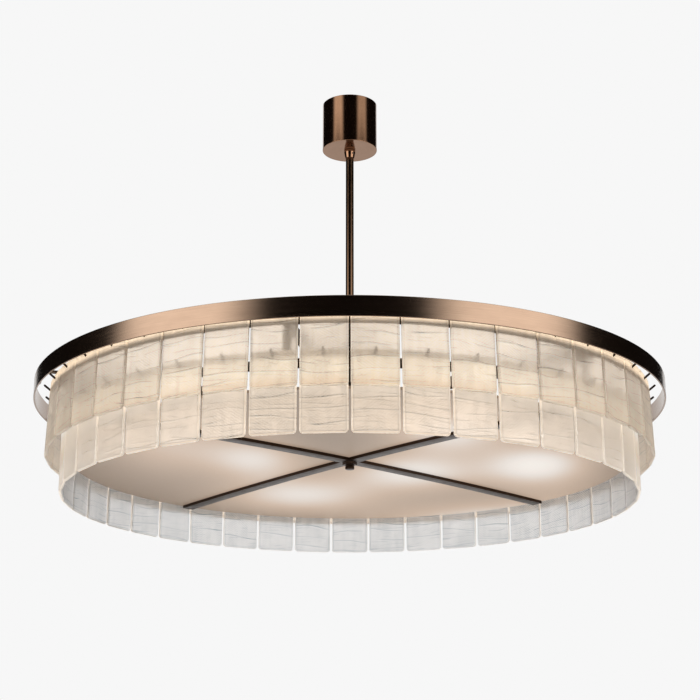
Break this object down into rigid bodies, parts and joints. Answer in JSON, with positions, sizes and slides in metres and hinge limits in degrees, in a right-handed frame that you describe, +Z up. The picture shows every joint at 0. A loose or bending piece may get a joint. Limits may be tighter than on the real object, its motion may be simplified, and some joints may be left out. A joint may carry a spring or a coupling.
{
  "type": "ring chandelier",
  "caption": "Round pendant chandelier: a bronze band over tiers of cast glass tiles hung on pins, with an opal diffuser disc inside and a stem up to a ceiling canopy.",
  "frame": {"origin": "on the ceiling's face, at the middle of the ceiling plate and over the stem; the fixture hangs below it", "axes": "+Z up along the stem, out of the ceiling plate's top face into the ceiling; the picture looks along +Y, with +X to its right"},
  "size_m": [1.2, 1.2, 0.828],
  "materials": {
    "bronze": "brushed, dark bronze",
    "dark_bronze": "satin, dark bronze",
    "cast_glass": "cast, wavy, slightly cloudy, with rounded edges",
    "opal_diffuser": "opal acrylic, satin",
    "frosted_bulb": "frosted, lit",
    "porcelain": "glazed white",
    "zinc_steel": "zinc plated"
  },
  "bodies": {
    "ceiling_mount": {"ceiling_plate": "zinc_steel", "terminal_block": "porcelain", "hanger_bolt": "zinc_steel", "hanger_nut": "zinc_steel"},
    "pendant": {"band_bracket_1": "dark_bronze", "band_bracket_2": "dark_bronze", "band_bracket_3": "dark_bronze", "band_bracket_4": "dark_bronze", "band_bracket_5": "dark_bronze", "band_bracket_6": "dark_bronze", "bulb_1": "frosted_bulb", "bulb_2": "frosted_bulb", "bulb_3": "frosted_bulb", "bulb_4": "frosted_bulb", "bulb_5": "frosted_bulb", "bulb_6": "frosted_bulb", "centre_rod": "dark_bronze", "drop_strut_1": "dark_bronze", "drop_strut_2": "dark_bronze", "drop_strut_3": "dark_bronze", "drop_strut_4": "dark_bronze", "drop_strut_5": "dark_bronze", "drop_strut_6": "dark_bronze", "hub_cap": "dark_bronze", "hub_cover": "dark_bronze", "hub_wall": "dark_bronze", "lamp_holder_1": "porcelain", "lamp_holder_2": "porcelain", "lamp_holder_3": "porcelain", "lamp_holder_4": "porcelain", "lamp_holder_5": "porcelain", "lamp_holder_6": "porcelain", "lower_tier_1": "cast_glass", "lower_tier_2": "cast_glass", "lower_tier_3": "cast_glass", "outer_band": "bronze", "rod_locknut": "zinc_steel", "spider_arm_1": "dark_bronze", "spider_arm_2": "dark_bronze", "spider_arm_3": "dark_bronze", "spider_arm_4": "dark_bronze", "spider_arm_5": "dark_bronze", "spider_arm_6": "dark_bronze", "stem_eye": "bronze", "stem_locknut": "zinc_steel", "stem_tube": "bronze", "upper_tier_1": "cast_glass", "upper_tier_2": "cast_glass", "upper_tier_3": "cast_glass"},
    "canopy": {"canopy_cup": "bronze", "canopy_collar": "bronze", "collar_screw": "zinc_steel"},
    "diffuser": {"diffuser_disc": "opal_diffuser", "diffuser_cross": "dark_bronze"},
    "finial": {"finial_nut": "dark_bronze"}
  },
  "joints": [
    {"name": "stem_tilt", "type": "hinge", "parent": "ceiling_mount", "child": "pendant", "pos_m": [0, 0, -0.03], "axis": [0, 1, 0], "range_deg": [-2.5, 2.5]},
    {"name": "canopy_drop", "type": "slide", "parent": "pendant", "child": "canopy", "axis": [0, 0, -1], "range_m": [0, 0.4]},
    {"name": "diffuser_drop", "type": "slide", "parent": "pendant", "child": "diffuser", "axis": [0, 0, -1], "range_m": [0, 0.0045]},
    {"name": "finial_turn", "type": "hinge", "parent": "diffuser", "child": "finial", "pos_m": [0, 0, -0.7631], "axis": [0, 0, -1], "range_deg": [0, 1080]}
  ],
  "couplings": [
    {"joint": "finial_turn", "follows": "diffuser_drop", "rad_per_m": 4188.8}
  ]
}
